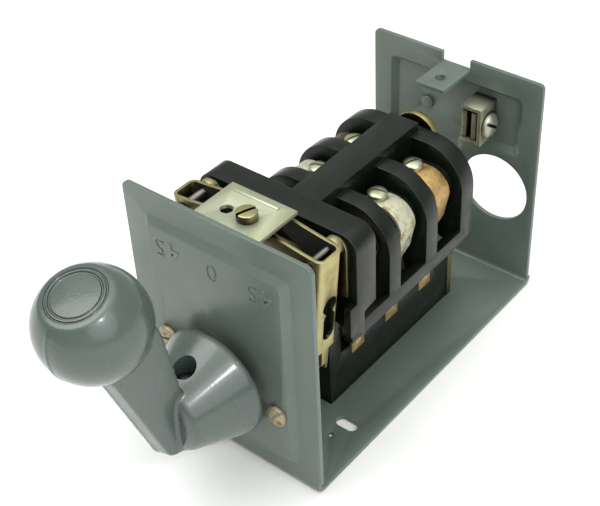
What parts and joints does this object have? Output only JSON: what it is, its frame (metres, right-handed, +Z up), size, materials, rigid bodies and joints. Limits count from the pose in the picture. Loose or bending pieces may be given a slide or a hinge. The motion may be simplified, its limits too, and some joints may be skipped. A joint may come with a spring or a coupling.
{
  "type": "drum switch",
  "caption": "Open drum switch: folded steel frame, ball handle on a rotary shaft, moulded contact block with screw terminals and a sprung roller detent.",
  "frame": {"origin": "midway between the two base slots, on the underside of the mounting frame", "axes": "+Z up from the base, +Y from the handle end to the conduit end, +X to the right seen from the handle end"},
  "size_m": [0.076, 0.205, 0.1104],
  "materials": {
    "grey_paint": "semi-gloss enamel",
    "black_moulding": "moulded phenolic, semi-gloss",
    "yellow_zinc": "yellow passivated zinc plate",
    "clear_zinc": "clear zinc plate",
    "steel": "bright steel",
    "tin_plate": "tin plate",
    "bronze": "bronze",
    "copper": "copper"
  },
  "bodies": {
    "frame": {"mounting_frame": "grey_paint", "front_screws": "yellow_zinc", "front_spacers": "steel", "front_bush": "bronze", "mechanism_bracket": "clear_zinc", "cover_post_screw": "yellow_zinc", "pivot_plate": "yellow_zinc", "pivot_plate_screws": "yellow_zinc", "lever_pins": "steel", "detent_spring": "steel", "contact_block": "black_moulding", "drum_cradle": "black_moulding", "cradle_screws": "steel", "end_plate": "yellow_zinc", "end_plate_screw": "yellow_zinc", "base_rivets": "steel", "ground_lug": "tin_plate", "lug_jaw": "tin_plate", "lug_screw": "tin_plate", "rear_rivet": "grey_paint", "contact_fingers_right": "copper", "terminal_saddles_right": "tin_plate", "terminal_screws_right": "yellow_zinc", "contact_fingers_left": "copper", "terminal_saddles_left": "tin_plate", "terminal_screws_left": "yellow_zinc"},
    "rotor": {"handle": "grey_paint", "handle_set_screw": "steel", "operating_shaft": "steel", "shaft_clip": "steel", "star_wheel": "steel", "drum_core": "black_moulding", "drum_segments": "copper"},
    "lever_right": {"detent_lever_right": "yellow_zinc", "roller_pin_right": "steel"},
    "lever_left": {"detent_lever_left": "yellow_zinc", "roller_pin_left": "steel"},
    "roller_right": {"detent_roller_right": "steel"},
    "roller_left": {"detent_roller_left": "steel"}
  },
  "joints": [
    {"name": "handle_turn", "type": "hinge", "parent": "frame", "child": "rotor", "pos_m": [0, -0.03, 0.0365], "axis": [0, 1, 0], "range_deg": [-45, 45]},
    {"name": "lever_right_swing", "type": "hinge", "parent": "frame", "child": "lever_right", "pos_m": [0.0256, -0.01115, 0.0843], "axis": [0, -1, 0], "range_deg": [0, 4.5], "stiffness_Nm_per_rad": 1, "springref_deg": -17.19},
    {"name": "lever_left_swing", "type": "hinge", "parent": "frame", "child": "lever_left", "pos_m": [-0.0256, -0.01115, 0.0843], "axis": [0, 1, 0], "range_deg": [0, 4.5], "stiffness_Nm_per_rad": 1, "springref_deg": -17.19},
    {"name": "roller_right_spin", "type": "hinge", "parent": "lever_right", "child": "roller_right", "pos_m": [0.01895, -0.011, 0.0365], "axis": [0, 1, 0], "continuous": true},
    {"name": "roller_left_spin", "type": "hinge", "parent": "lever_left", "child": "roller_left", "pos_m": [-0.01895, -0.011, 0.0365], "axis": [0, 1, 0], "continuous": true}
  ]
}
